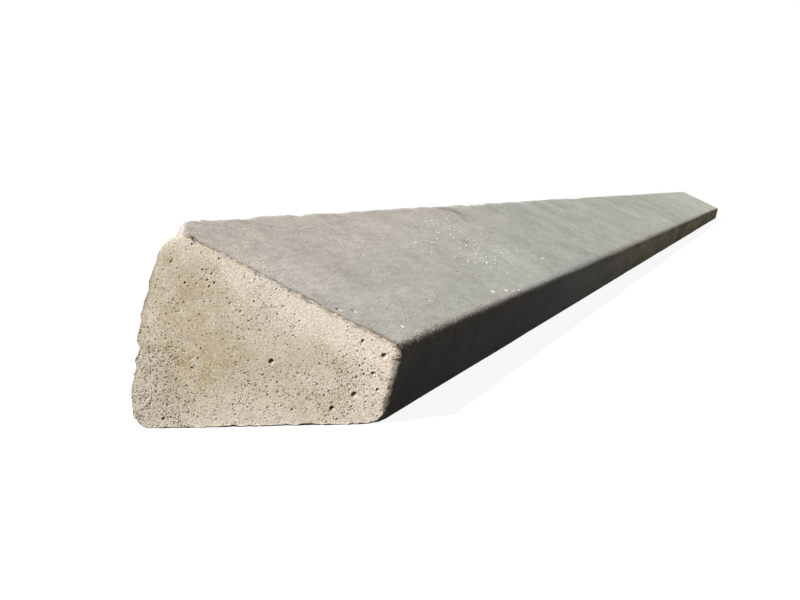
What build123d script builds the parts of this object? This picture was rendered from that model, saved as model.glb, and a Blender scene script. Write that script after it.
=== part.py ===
from build123d import *
import os
from math import atan2, degrees

# Concrete fence post: one tapered casting, stored as it lies on one of its sloping sides.
# Frame: the post runs along Y with its near end at -Y, Z is up and the floor is Z = 0.
# All sizes are in millimetres.

# Casting
length = 2800.0              # end to end
wide_face = 65.0             # width of the struck face, at the open top of the mould
narrow_face = 23.0           # width of the face cast on the floor of the mould
depth = 80.0                 # from the struck face to the narrow face
mould_arris_radius = 4.0     # edges beside the narrow face, rounded by the mould
struck_arris_radius = 1.2    # edges beside the struck face, left by the trowel

# Corners broken off the near end. Each broke along two planes, which meet in a ridge that runs from
# the end face back to the struck arris. Sizes are measured from where the sharp corner was.
upper_break_down = 11.0      # down the struck face
upper_break_across = 10.5    # across the upper side
upper_break_along = 15.0     # along the post
upper_ridge_down = 2.6       # ridge on the end face, down
upper_ridge_across = 4.2     # ridge on the end face, across
lower_break_up = 10.2        # up the struck face
lower_break_across = 8.0     # across the lower side
lower_break_along = 14.0     # along the post
lower_ridge_up = 2.7         # ridge on the end face, up
lower_ridge_across = 3.6     # ridge on the end face, across

# Each side leans in by this angle on its way from the struck face to the narrow one
taper = atan2((wide_face - narrow_face) / 2, depth)


def cast_section():
    """Section as it stands in the mould: X from the struck face inwards, Y across."""
    outline = Polyline(
        (0, wide_face / 2),
        (depth, narrow_face / 2),
        (depth, -narrow_face / 2),
        (0, -wide_face / 2),
        close=True,
    )
    section = make_face(outline)
    mould_corners = section.vertices().group_by(Axis.X)[-1]
    section = fillet(mould_corners, min(mould_arris_radius, 0.45 * narrow_face))
    struck_corners = section.vertices().group_by(Axis.X)[0]
    return fillet(struck_corners, min(struck_arris_radius, 0.2 * wide_face))


def break_corner(post, side, down, across, along, ridge_down, ridge_across):
    """Take off one corner of the struck face at the near end, by two planes that meet in a ridge.

    One plane holds the point on the struck face and the ridge, the other the point on the side and
    the ridge. The side is +1 for the upper corner and -1 for the lower one.
    """
    corner = Vector(0, 0, side * wide_face / 2)
    down_struck_face = Vector(0, 0, -side)
    across_side = Vector(depth, 0, side * (narrow_face - wide_face) / 2).normalized()
    on_arris = corner + Vector(0, 1, 0) * along
    ridge = corner + down_struck_face * ridge_down + across_side * ridge_across
    for on_edge in (corner + down_struck_face * down, corner + across_side * across):
        normal = (ridge - on_edge).cross(on_arris - on_edge)
        if normal.dot(corner - on_edge) < 0:
            normal = -normal
        facet = Plane(origin=on_edge, x_dir=ridge - on_edge, z_dir=normal)
        post = split(post, bisect_by=facet, keep=Keep.BOTTOM)
    return post


def lay_down(post):
    """Turn the casting onto its lower side and centre its box over the origin."""
    laid = Rot(0, degrees(taper), 0) * post
    box = laid.bounding_box()
    return Pos(-box.center().X, -box.center().Y, -box.min.Z) * laid


# The section is drawn on the XZ plane, whose normal is -Y, so the post grows backwards from it
post = extrude(Plane.XZ * cast_section(), amount=-length)
post = break_corner(
    post, 1, upper_break_down, upper_break_across, upper_break_along, upper_ridge_down, upper_ridge_across
)
post = break_corner(
    post, -1, lower_break_up, lower_break_across, lower_break_along, lower_ridge_up, lower_ridge_across
)
fence_post = lay_down(post).solid()

os.makedirs("parts", exist_ok=True)
export_step(fence_post, "parts/fence_post.step")
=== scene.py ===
# %% [markdown]
# # A cast concrete fence post
#
# The post is one long casting of tapered section that lies on one of its sloping sides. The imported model
# gives its place and size. This lesson dresses it: a finer skin with air holes and crumbled edges, three
# finishes of concrete, and the light and camera to look at it.

# %% The frame
import math

import bpy
import numpy as np
from mathutils import Matrix, Vector


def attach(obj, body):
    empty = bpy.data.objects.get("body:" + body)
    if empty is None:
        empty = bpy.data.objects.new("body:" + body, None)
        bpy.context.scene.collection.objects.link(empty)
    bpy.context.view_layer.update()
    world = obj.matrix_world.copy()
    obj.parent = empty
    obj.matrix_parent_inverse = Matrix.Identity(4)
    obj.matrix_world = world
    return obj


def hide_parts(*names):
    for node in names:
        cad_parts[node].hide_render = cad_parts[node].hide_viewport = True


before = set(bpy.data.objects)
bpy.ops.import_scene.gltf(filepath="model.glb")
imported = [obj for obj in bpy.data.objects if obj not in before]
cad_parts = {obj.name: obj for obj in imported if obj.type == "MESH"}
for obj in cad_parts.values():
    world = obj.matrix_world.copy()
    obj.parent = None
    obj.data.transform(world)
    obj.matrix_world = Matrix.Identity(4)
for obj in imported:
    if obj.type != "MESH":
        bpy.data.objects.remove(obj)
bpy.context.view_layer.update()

# %% [markdown]
# ## The section
#
# In the mould the post stands with its wide face up. Wet concrete fills the mould to the brim and the brim is
# struck off with a board, so the wide face is rough and its two edges are sharp. The mould itself rounds the
# two edges of the narrow face. The outline could be a curve object, but the skin needs its points as numbers,
# so it is worked out here as a list of points in millimetres.

# %% Outline of the section
MM = 0.001
LENGTH, WIDE, NARROW, DEPTH = 2800.0, 65.0, 23.0, 80.0
UPPER_MOULD_ARRIS, LOWER_MOULD_ARRIS, STRUCK_ARRIS = 4.0, 5.0, 0.6
ARC_STEPS = 40
NEAR = -LENGTH / 2
TAPER = math.atan2((WIDE - NARROW) / 2, DEPTH)

lean = np.array([math.sin(TAPER), math.cos(TAPER)])
low_struck = np.array([0.0, 0.0])
low_mould = np.array([math.hypot(DEPTH, (WIDE - NARROW) / 2), 0.0])
high_mould = low_mould + NARROW * lean
high_struck = low_struck + WIDE * lean


def unit(vectors):
    """The same directions at length one: each vector over the root of its summed squares."""
    return vectors / np.linalg.norm(vectors, axis=-1, keepdims=True)


def rounded(before, corner, after, radius):
    """Arc that rounds a corner: its middle lies on the bisector, radius / sin(half angle) from the corner."""
    to_before, to_after = unit(before - corner), unit(after - corner)
    half = math.acos(to_before @ to_after) / 2
    centre = corner + unit(to_before + to_after) * radius / math.sin(half)
    first = corner + to_before * radius / math.tan(half) - centre
    last = corner + to_after * radius / math.tan(half) - centre
    whole = math.pi - 2 * half
    swing = np.linspace(0, whole, ARC_STEPS + 1)[:, None]
    return centre + (first * np.sin(whole - swing) + last * np.sin(swing)) / math.sin(whole)


arcs = [
    rounded(low_struck, high_struck, high_mould, STRUCK_ARRIS),
    rounded(high_struck, high_mould, low_mould, UPPER_MOULD_ARRIS),
    rounded(high_mould, low_mould, low_struck, LOWER_MOULD_ARRIS),
    rounded(low_mould, low_struck, high_struck, STRUCK_ARRIS),
]
every_x = np.vstack(arcs)[:, 0]
shift = np.array([-(every_x.min() + every_x.max()) / 2, 0.0])
arcs = [arc + shift for arc in arcs]
corners = [corner + shift for corner in (high_struck, high_mould, low_mould, low_struck)]
high_struck, high_mould, low_mould, low_struck = corners
across_upper = unit(high_mould - high_struck)
sideways = np.array([across_upper[0], 0.0, across_upper[1]])
upper_normal = np.array([-across_upper[1], 0.0, across_upper[0]])
narrow_normal = np.array([math.cos(TAPER), 0.0, -math.sin(TAPER)])
print("corners", np.round(corners, 2).tolist())

# %% [markdown]
# The ring of points runs round the section from the upper struck edge: across the upper side, down the narrow
# face, back along the lower side and up the struck face. Each of the four runs goes from the middle of one
# rounding to the middle of the next, so that the same points can bound a square patch over the end.

# %% Ring of points
ACROSS, DOWN = 128, 96
CELLS = {"upper": ACROSS, "narrow": DOWN, "lower": ACROSS, "struck": DOWN}
RING = sum(CELLS.values())


def run(arc, next_arc, cells):
    """Even steps by length from the middle of one rounding, along the straight, to the middle of the next."""
    line = np.vstack([arc[len(arc) // 2:], next_arc[:len(next_arc) // 2 + 1]])
    gone = np.concatenate([[0], np.cumsum(np.linalg.norm(np.diff(line, axis=0), axis=1))])
    at = np.linspace(0, gone[-1], cells + 1)[:-1]
    return np.stack([np.interp(at, gone, line[:, 0]), np.interp(at, gone, line[:, 1])], axis=1)


def at_distance(flat, away):
    """Points (x, z) of the section, put a distance away from the near end, as (x, y, z)."""
    x, z = np.moveaxis(np.asarray(flat), -1, 0)
    return np.stack(np.broadcast_arrays(x, NEAR + away, z), axis=-1)


next_arcs = arcs[1:] + arcs[:1]
ring = np.vstack([run(*pair, cells) for *pair, cells in zip(arcs, next_arcs, CELLS.values())])
side_of = np.repeat(list(CELLS), list(CELLS.values()))
tangent = np.roll(ring, -1, axis=0) - np.roll(ring, 1, axis=0)
outward = unit(np.stack([-tangent[:, 1], tangent[:, 0]], axis=1))
middle = ring.mean(axis=0)
print("ring of", RING, "points,", round(float(np.linalg.norm(tangent, axis=1).sum() / 2), 1), "mm round")

# %% [markdown]
# ## Roughness by numbers
#
# Concrete is uneven at every scale: waves where the board dragged, sand at the surface, crumbs along the
# edges. A displacement modifier could do this, but then the edges could not be told from the faces. Instead
# one noise function works on whole arrays of points, and each part of the skin asks for the layers it needs.

# %% Noise
TABLE = np.random.default_rng(7).uniform(-1, 1, 8192)
# Large odd numbers that turn a lattice corner and a seed into a place in the table
MIX = np.array([73856093, 19349663, 83492791])
MIX_SEED, MIX_START = 2654435761, 12345


def noise(points, size, seed=0):
    """Smooth noise from -1 to 1: random values on a lattice of that size, eased between its corners."""
    cell = np.asarray(points, float) / size
    low = np.floor(cell).astype(np.int64)
    part = cell - low
    ease = part * part * (3 - 2 * part)
    total = 0.0
    for corner in np.ndindex(2, 2, 2):
        x, y, z = np.moveaxis((low + corner) * MIX, -1, 0)
        key = x ^ y ^ z ^ (seed * MIX_SEED + MIX_START)
        share = np.where(corner, ease, 1 - ease).prod(axis=-1)
        total = total + TABLE[key % len(TABLE)] * share
    return total


def layered(points, layers, start=0.0):
    """A start plus noise layers, each given by its height, size, seed and squeeze along the post."""
    total = start
    for height, size, seed, squeeze in layers:
        total = total + height * noise(points * [1, squeeze, 1], size, seed)
    return total


def hump(distance, half):
    """Round hill: one minus the square of distance over half width, and nothing beyond it."""
    return np.clip(1 - (distance / half) ** 2, 0, None)


sample = np.random.default_rng(1).uniform(0, 99, (4000, 3))
print("noise spans", round(float(np.ptp(noise(sample, 5.0))), 2))

# %% [markdown]
# ## The end arris
#
# Where the end meets the sides, the edge is never knife sharp: it is a small rounding that changes from
# place to place, tight along the upper side, wide and shallow beside the narrow face, and here and there a
# crumb has gone. A bevel would have one width, so the width is worked out for each point of the ring.

# %% Size of the end arris round the ring
# Width at the start and the end of each run, in millimetres; depth as a share of the width; roughness in
# millimetres; and how straight the slope is, from a quarter round (0) to a plain facet (1)
END_ARRIS = {
    "upper": (0.45, 1.0, 1.0, 0.28, 0.0),
    "narrow": (2.1, 1.2, 0.4, 0.3, 1.0),
    "lower": (1.2, 0.7, 1.0, 0.1, 0.0),
    "struck": (0.7, 0.7, 1.0, 0.2, 0.0),
}
# Noise of the width, as a share of it
UNEVEN_WIDTH = [(0.5, 1.7, 3, 1), (0.4, 5.0, 4, 1)]
WIDTH_LIMITS = 0.25, 3.2
# Crumbs gone from the near upper edge: across from the struck edge, half width and extra size, in
# millimetres, and how much painted shade darkens the gap
UPPER_CRUMBS = [
    (11.2, 0.8, 1.0, 0.8), (33.6, 0.8, 0.7, 0.5), (47.0, 1.8, 0.6, 0.0), (52.0, 1.2, 0.8, 0.3),
    (61.0, 2.5, 0.5, 0.0), (70.0, 3.0, 0.5, 0.2),
]
# Weights of a point and its neighbours, for smoothing a value round the ring
BELL, BOX = np.hanning(19), np.ones(9)
# Inward steps aim at the middle, and are longer at a slant to the edge: over its cosine, or this at least
LEAST_COSINE = 0.55


def round_ring(values, weights):
    """Smooth a value round the closed ring: each point takes the weighted mean of its neighbours."""
    reach = len(weights) // 2
    closed = np.concatenate([values[-reach:], values, values[:reach]])
    return np.convolve(closed, weights / weights.sum(), "valid")


arris = np.concatenate([np.linspace(*END_ARRIS[name][:2], cells) for name, cells in CELLS.items()])
by_side = np.array([END_ARRIS[name][2:] for name in side_of])
arris_depth, arris_rough, arris_straight = (round_ring(column, BELL) for column in by_side.T)
arris = round_ring(arris, BELL) * layered(at_distance(ring, 0), UNEVEN_WIDTH, 1.0)
spot = (ring - high_struck) @ across_upper
crumb_shade = np.zeros(RING)
for place, half, extra, dark in UPPER_CRUMBS:
    crumb = np.where(side_of == "upper", hump(spot - place, half), 0)
    arris, crumb_shade = arris + extra * crumb, crumb_shade + dark * crumb
arris = np.clip(arris, *WIDTH_LIMITS)
inward = unit(middle - ring)
inward /= np.clip(-(inward * outward).sum(axis=1), LEAST_COSINE, 1)[:, None]
print("end arris from", round(float(arris.min()), 2), "to", round(float(arris.max()), 2), "mm")

# %% [markdown]
# ## Grids of the skin
#
# The skin is fine at the near end and coarse along the back, because that is how closely each is seen. Three
# zones of rings do this. Each zone has half the points of the one before, and a band of triangles joins them.
# Each point also keeps marks for the finishes: how much painted shade it takes in an air hole or a crumb
# gap, under zero where a proud grain takes a painted glint; how much grime and painted shade its edge
# holds; whether a break bared it; and how worn the edge is there.

# %% Skin store
skin_points = []
marks = {"hollow": [], "grime_and_shade": [], "bared": [], "worn": []}
faces, face_finish = {4: [], 3: []}, {4: [], 3: []}
END, MOULD, STRUCK = 0, 1, 2


def store(points, **given):
    """Add points with their marks to the skin and return their numbers in the shape of the array."""
    start = sum(len(block) for block in skin_points)
    shape = points.shape[:-1]
    skin_points.append(points.reshape(-1, 3))
    for name, kept in marks.items():
        kept.append(np.broadcast_to(given.get(name, 0.0), shape).ravel())
    return start + np.arange(math.prod(shape)).reshape(shape)


def keep_faces(finish, *corners):
    """Add faces with a finish, from an array for each corner, in the order that turns them outwards."""
    faces[len(corners)].append(np.stack([corner.ravel() for corner in corners], axis=1))
    face_finish[len(corners)].append(np.broadcast_to(finish, corners[0].shape).ravel())


print("marks of a point:", ", ".join(marks))

# %% [markdown]
# The form of the sides is a profile carried along a path: the ring, repeated at each distance from the near
# end. The struck face is rough, the mould faces hardly wave at all, and the two struck edges are ragged.

# %% Edges of the sides
# Crumbling of the struck edges: its least depth in millimetres, and the noise of its waves and of its crumbs
LEAST_CRUMBLE, WAVES, CRUMBS = 0.1, [(0.3, 9.0, 11, 1)], [(0.5, 3.5, 12, 1)]
# Chips out of the upper struck edge: distance from the near end, half length and depth, in millimetres
EDGE_CHIPS = [
    (28, 2.5, 0.9), (35, 2, 0.6), (62, 34, 0.6), (71, 6, 0.4), (131, 6, 1.1), (182, 20, 0.5), (452, 14, 1.2),
    (478, 9, 1.8), (500, 10, 1.3), (640, 30, 0.4), (980, 45, 0.3), (1530, 38, 0.3), (2110, 60, 0.3),
]
# The lower struck edge crumbles as the upper one would this much further on, past all its chips
LOWER_EDGE_START = 5000.0
# Wear of the upper mould edge: how far from the corner it ends, and over what width it fades, in millimetres
WORN_REACH, WORN_FADE = 5.1, 3.0


def ragged(along):
    """How far the struck edge has crumbled at each distance: small noise, and a round bite for each chip."""
    path = np.column_stack([np.zeros_like(along), along, np.zeros_like(along)])
    depth = LEAST_CRUMBLE + np.abs(layered(path, WAVES)) + np.clip(layered(path, CRUMBS), 0, None)
    return depth + sum(bite * hump(along - place, half) for place, half, bite in EDGE_CHIPS)


struck_edges = [
    (np.linalg.norm(ring - corner, axis=1), unit(middle - corner), start)
    for corner, start in ((high_struck, 0.0), (low_struck, LOWER_EDGE_START))
]
struck_share = round_ring((side_of == "struck").astype(float), BOX)
upper_gap = np.linalg.norm(ring - high_mould, axis=1)
mould_edge = np.clip((WORN_REACH - upper_gap) / WORN_FADE, 0, 1)
print("edge crumbles by up to", round(float(ragged(np.linspace(0, LENGTH, 9000)).max()), 2), "mm")

# %% Form of the sides
# Noise of each face, and of the sand in the upper mould edge, which shows less and less over a length
STRUCK_NOISE = [(0.45, 8.0, 21, 1), (0.4, 3.0, 22, 1), (0.5, 30.0, 23, 0.35)]
MOULD_NOISE = [(0.12, 24.0, 24, 0.3), (0.02, 4.0, 25, 0.4)]
SAND_NOISE, SANDY_LONG = [(0.22, 1.6, 26, 1), (0.3, 3.9, 27, 1)], 450.0
# At the near end the struck face is lumpy, and smooths out over a length
LUMPS, LUMPY_LONG = [(0.7, 2.5, 28, 1), (0.6, 1.3, 29, 1)], 8.0
# Flash from the mould stands a little out of the upper mould edge, most of all at the near end
FLASH, FLASH_REST, FLASH_WIDE, FLASH_LONG = 1.2, 0.8, 14.0, 14.0
# Relief and flash fade out at both ends over these lengths
RELIEF_FADE, FLASH_FADE = 2.0, 3.0
# A bite reaches this far from the edge, and this much further for each millimetre of its depth
BITE_REACH, BITE_WIDER = 1.2, 1.3


def slide(points, amount, direction):
    """Move points within the section: add the amount times a direction (x, z)."""
    points[..., 0] += amount * direction[..., 0]
    points[..., 2] += amount * direction[..., 1]


def side_form(step, along):
    """Every step-th ring point at each distance along: ring, plus relief outwards, minus ragged edges."""
    away, rough = along[:, None], struck_share[::step]
    points = at_distance(ring[::step], away)
    from_end = np.minimum(away, LENGTH - away)
    sandy = mould_edge[::step] * layered(points, SAND_NOISE) * np.exp(-away / SANDY_LONG)
    relief = rough * layered(points, STRUCK_NOISE) + (1 - rough) * (layered(points, MOULD_NOISE) + sandy)
    relief = relief * np.clip(from_end / RELIEF_FADE, 0, 1)
    relief = relief + rough * layered(points, LUMPS) * np.exp(-away / LUMPY_LONG)
    flash = FLASH_REST + (FLASH - FLASH_REST) * np.exp(-away / FLASH_LONG)
    flash = flash * np.clip(1 - upper_gap[::step] / FLASH_WIDE, 0, 1) * np.clip(from_end / FLASH_FADE, 0, 1)
    slide(points, relief, outward[::step])
    slide(points, flash, across_upper)
    for gap, pull, start in struck_edges:
        bite = ragged(along + start)[:, None]
        near_edge = np.clip(1 - gap[::step] / (BITE_REACH + BITE_WIDER * bite), 0, 1)
        slide(points, bite * near_edge, pull)
    points[..., 2] = np.maximum(points[..., 2], 0)
    return points


print("struck face takes", round(100 * float(struck_share.mean())), "per cent of the ring")

# %% [markdown]
# Two corners of the struck face are broken off the near end, and one corner of the narrow face is rubbed
# round. The part has each break as two planes that meet in a ridge. Here each has three, which follow its
# rounded outline more closely, and the upper one also has a notch that ends in a ledge. A cut by planes would
# leave clean facets, so every point that stands proud of a plane is pushed back to it, with some roughness.

# %% Planes of the breaks
# Outline of each on the end, as distances along the two faces that met there, and how far back it runs
UPPER_BREAK = [(15.5, 0.0), (6.2, 2.2), (3.2, 4.6), (0.0, 8.0)], 19.5
LOWER_BREAK = [(12.4, 0.0), (4.0, 2.7), (1.2, 5.2), (0.0, 10.5)], 14.0
RUBBED_CORNER = [(6.5, 0.0), (2.6, 1.1), (0.9, 2.6), (0.0, 5.0)], 8.0
UPPER_NOTCH = [(24.0, 0.0), (0.0, 8.0)], 18.5
NOTCH_LEDGE = [(5.1, 0.0), (1.4, 7.3)]


def break_planes(corner, along_one, along_other, outline, back, ledge=None):
    """Planes of one break, each as a point on it, its outward normal and the ledge where it ends.

    The outline is a chain of points, each as a distance along one face and a distance along the other. A
    plane holds two neighbours of the chain and the point of the edge some way back.
    """
    chain = [at_distance(corner + one * along_one + other * along_other, 0) for one, other in outline]
    planes = []
    for here, there in zip(chain[:-1], chain[1:]):
        normal = np.cross(there - here, at_distance(corner, back) - here)
        normal *= np.sign(normal @ (at_distance(corner, 0) - here)) / np.linalg.norm(normal)
        planes.append((here, normal, ledge))
    return planes


ledge_from, ledge_to = (high_struck - down * lean + across * across_upper for down, across in NOTCH_LEDGE)
ledge_up = unit(np.array([ledge_from[1] - ledge_to[1], ledge_to[0] - ledge_from[0]]))
across_lower = np.array([1.0, 0.0])
breaks = break_planes(high_struck, -lean, across_upper, *UPPER_BREAK)
breaks += break_planes(low_struck, lean, across_lower, *LOWER_BREAK)
breaks += break_planes(low_mould, lean, -across_lower, *RUBBED_CORNER)
breaks += break_planes(high_struck, -lean, across_upper, *UPPER_NOTCH, (ledge_from, ledge_up))
print("breaks at", [np.round(origin, 1).tolist() for origin, *_ in breaks])

# %% Breaking the corners
BREAK_NOISE = [(0.35, 4.5, 31, 1), (0.3, 1.9, 32, 1)]
# The edge of a break is softened over this width, a point that went this deep is bare, and the notch ends at
# its ledge over this width, in millimetres
SOFT, BARED_DEPTH, LEDGE_WIDE = 0.3, 0.8, 1.0


def break_corners(points):
    """Push points beyond a break back to its plane, softly (a softplus) and roughly; also say how bared."""
    before = points[..., [0, 2]]
    bared = np.zeros(points.shape[:-1])
    for origin, normal, ledge in breaks:
        proud = (points - origin) @ normal + layered(points, BREAK_NOISE)
        push = SOFT * np.logaddexp(0, proud / SOFT)
        if ledge:
            start, up = ledge
            push = push * np.clip(0.5 + (before - start) @ up / LEDGE_WIDE, 0, 1)
        points = points - push[..., None] * normal
        bared = np.maximum(bared, push)
    return points, np.clip(bared / BARED_DEPTH, 0, 1)


sharp_corner = at_distance(high_struck, 0)
gone_back = np.linalg.norm(break_corners(sharp_corner)[0] - sharp_corner)
print("upper corner goes back", round(float(gone_back), 1), "mm")

# %% [markdown]
# ## The near end
#
# The end was cast against a stop board. It could be one face with many corners, but then it could hold no
# holes. It is a patch stretched over the ring: each inner point is a blend of the four runs of the ring,
# which keeps the grid even and needs no pole in the middle.

# %% End patch
# Noise of the end, and how far it is set back to stay within the post's length, in millimetres
END_NOISE, END_BACK = [(0.03, 2.4, 41, 1), (0.2, 22.0, 42, 1)], 0.15


def end_patch(bound, across, down):
    """Blend of four boundary runs (a Coons patch): rows plus columns, minus the blend of the four corners."""
    top = bound[:across + 1]
    right = bound[across:across + down + 1]
    bottom = bound[across + down:2 * across + down + 1][::-1]
    left = np.vstack([bound[2 * across + down:], bound[:1]])[::-1]
    u = np.linspace(0, 1, across + 1)[:, None, None]
    v = np.linspace(0, 1, down + 1)[None, :, None]
    sides = (1 - v) * top[:, None] + v * bottom[:, None] + (1 - u) * left[None] + u * right[None]
    upper_corners = (1 - u) * (1 - v) * top[0] + u * (1 - v) * top[-1]
    return sides - upper_corners - (1 - u) * v * bottom[0] - u * v * bottom[-1]


def around(grid):
    """The numbers on a patch's boundary, in the order of the ring."""
    return np.concatenate([grid[:-1, 0], grid[-1, :-1], grid[:0:-1, -1], grid[0, :0:-1]])


end_points = at_distance(end_patch(ring + inward * arris[:, None], ACROSS, DOWN), 0)
end_points[..., 1] += layered(end_points, END_NOISE) + END_BACK
end_points, bared = break_corners(end_points)
end_grid = store(end_points, bared=bared)
print("end patch of", end_grid.size, "points")

# %% [markdown]
# ## Sides and far end
#
# The first rows turn round the end arris, and the rest follow at growing distances. Grime and painted
# shade sit in the arris.
# The far end mirrors the near one more coarsely.

# %% Rows at the near end
# Rows round the end arris: how far along it each lies, its grime and painted shade, and its roughness, all
# as shares
TURN_ROWS = [(0.13, 0.6, 0.4), (0.42, 0.9, 1.0), (0.76, 1.0, 1.0), (1.0, 1.0, 0.5)]
ARRIS_NOISE = [(1.0, 1.0, 5, 1), (1.0, 2.1, 6, 1)]
# Strength of the grime and painted shade in the end arris on each side
GRIME_SHADE_BY_SIDE = {"upper": 0.9, "narrow": 0.9, "lower": 1.0, "struck": 1.0}
# The arris carries on the form that the sides have this far along
FORM_AT = 3.0
# Rows behind it: start in millimetres, and steps as the first, the last and their number
FINE_START, FINE_STEPS = 3.4, (0.55, 1.25, 40)

turn, row_grime_shade, row_rough = np.array(TURN_ROWS).T[..., None]
turned = side_form(1, np.full(len(turn), FORM_AT))
turned[..., 1] = NEAR + arris * arris_depth * turn
quarter_round, facet = 1 - np.sqrt(1 - (1 - turn) ** 2), 1 - turn
pull = arris * (quarter_round + arris_straight * (facet - quarter_round))
slide(turned, pull + arris_rough * layered(turned, ARRIS_NOISE) * row_rough, inward)
turned[..., 2] = np.maximum(turned[..., 2], 0)
fine = FINE_START + np.concatenate([[0], np.cumsum(np.linspace(*FINE_STEPS))])
near_rows, bared = break_corners(np.vstack([turned, side_form(1, fine)]))
grime_and_shade, crumb_hollow = np.zeros((2, *bared.shape))
# Grime and painted shade in the rows round the end arris
grime_and_shade[:len(turn)] = row_grime_shade * [GRIME_SHADE_BY_SIDE[name] for name in side_of]
# Painted shade in the crumb gaps of the upper edge
crumb_hollow[:len(turn)] = crumb_shade
near_marks = {"bared": bared, "grime_and_shade": grime_and_shade * (1 - bared), "hollow": crumb_hollow, "worn": mould_edge}
fine_grid = np.vstack([around(end_grid)[None], store(near_rows, **near_marks)])
print("fine rows", len(fine_grid))

# %% Rows along the post
# Medium rows: gap after the fine ones, end and step, in millimetres. Coarse rows: steps as before. The last
# rows are given by their distance from the far end, and the coarse ones leave them room.
MEDIUM_GAP, MEDIUM_END, MEDIUM_STEP = 1.6, 380.0, 2.1
COARSE_STEPS = [(3.0, 6.0, 40), (6.0, 34.0, 66)]
LAST_ROWS, LAST_ROOM = np.array([60.0, 40, 26, 16, 9, 5, 2.6, 1.2]), 90.0
# They have every second and every fourth point of the ring
HALVED, QUARTERED = 2, 4
# Far end: width of its arris, its noise, and how far it is set back, in millimetres
FAR_ARRIS, FAR_NOISE, FAR_BACK = 1.0, [(0.12, 9.0, 51, 1)], 0.12

medium = np.arange(fine[-1] + MEDIUM_GAP, MEDIUM_END, MEDIUM_STEP)
medium_grid = store(side_form(HALVED, medium), worn=mould_edge[::HALVED])
coarse = medium[-1] + np.cumsum(np.concatenate([np.linspace(*steps) for steps in COARSE_STEPS]))
coarse = np.concatenate([coarse[coarse < LENGTH - LAST_ROOM], LENGTH - LAST_ROWS])
coarse_grid = store(side_form(QUARTERED, coarse), worn=mould_edge[::QUARTERED])

far_bound = ring[::QUARTERED] + inward[::QUARTERED] * FAR_ARRIS
far_points = at_distance(end_patch(far_bound, ACROSS // QUARTERED, DOWN // QUARTERED), LENGTH)
far_points[..., 1] -= layered(far_points, FAR_NOISE) + FAR_BACK
far_grid = store(far_points)
coarse_grid = np.vstack([coarse_grid, around(far_grid)[None]])
print("medium rows", len(medium_grid), "and coarse rows", len(coarse_grid))

# %% [markdown]
# ## Air holes and grains
#
# Bubbles trapped against the mould leave round holes of one to three millimetres, and pits in the mould leave
# grains that stand proud. They could be painted on, but the light catches their walls, so they are real: the
# cells around each one are taken out of the grid and a small bowl or dome is sewn to the rim that is left.

# %% Places of the holes and grains
# Holes in the near end: x, z, radius in millimetres
END_HOLES = [
    (4.9, 19.3, 1.0), (39.6, 20.0, 0.95), (36.0, 14.9, 0.72), (29.8, 8.9, 1.0), (22.8, 4.9, 0.95),
    (-30.7, 2.9, 0.62), (-20.8, 43.9, 0.58), (-14.7, 47.5, 0.4), (-14.1, 46.3, 0.34), (-11.9, 46.3, 0.48),
    (-13.9, 44.4, 0.45), (-11.3, 43.2, 0.49), (-13.1, 42.6, 0.48), (-15.7, 44.7, 0.3), (-15.4, 40.5, 0.3),
    (-7.3, 38.8, 0.4), (-11.9, 37.0, 0.26), (8.2, 40.8, 0.38), (14.7, 31.1, 0.4), (13.3, 32.9, 0.3),
    (13.0, 29.5, 0.36), (33.5, 24.5, 0.68), (26.4, 21.8, 0.4), (28.4, 20.5, 0.4), (29.3, 28.9, 0.34),
    (37.0, 10.1, 0.62), (33.0, 6.7, 0.42), (28.7, 5.4, 0.4), (-34.7, 7.8, 0.45), (-21.0, 4.0, 0.4),
    (10.5, 4.8, 0.45), (6.3, 13.3, 0.4), (2.1, 15.5, 0.35), (22.3, 10.2, 0.4), (20.6, 8.7, 0.35),
    (36.8, 25.9, 0.34), (30.4, 23.3, 0.3), (33.8, 19.1, 0.42), (40.9, 17.6, 0.34), (40.5, 15.6, 0.3),
    (-4.4, 21.1, 0.3), (-3.0, 10.2, 0.3), (11.5, 11.0, 0.35), (35.4, 17.2, 0.36), (-17.6, 55.3, 0.5),
    (2.0, 44.3, 0.45),
]
# Holes in the upper side: across from the struck edge, along from the near end, radius in millimetres
UPPER_HOLES = [
    (59.7, 7.4, 1.15), (62.3, 15.8, 1.15), (29.4, 6.5, 0.5), (29.4, 16.7, 0.6), (34.5, 114.3, 0.8),
    (44.8, 93.9, 0.7), (15.1, 93.4, 0.7), (8.0, 51.1, 0.7), (67.9, 93.0, 0.8), (19.2, 8.2, 0.45),
    (24.1, 7.4, 0.4), (10.2, 8.8, 0.4), (33.1, 15.3, 0.45), (3.9, 46.1, 0.45), (18.9, 14.7, 0.35),
    (42.6, 9.1, 0.4),
]
# Grains on the upper side, the same way
UPPER_GRAINS = [
    (15.7, 303.1, 0.48), (15.3, 340.1, 0.53), (32.4, 207.2, 0.53), (34.7, 229.1, 0.53), (41.1, 202.2, 0.43),
    (31.7, 248.9, 0.48), (27.3, 275.1, 0.43), (25.9, 303.5, 0.53), (30.3, 287.4, 0.53), (33.4, 280.0, 0.43),
    (24.7, 320.5, 0.48), (28.0, 318.7, 0.43), (41.7, 274.1, 0.53), (42.2, 295.5, 0.48), (48.9, 266.0, 0.58),
    (42.7, 255.9, 0.43), (53.2, 229.3, 0.53), (55.5, 236.6, 0.48), (52.8, 272.9, 0.53), (57.5, 253.4, 0.58),
    (60.6, 232.7, 0.48), (47.0, 283.4, 0.43), (57.0, 278.4, 0.43), (53.2, 313.9, 0.48), (68.1, 252.4, 0.43),
    (38.6, 307.8, 0.43), (33.6, 348.9, 0.48), (46.0, 330.0, 0.43), (62.0, 300.0, 0.43), (79.5, 212.0, 0.53),
    (54.8, 350.1, 0.5), (80.0, 222.0, 0.5),
]
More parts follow.
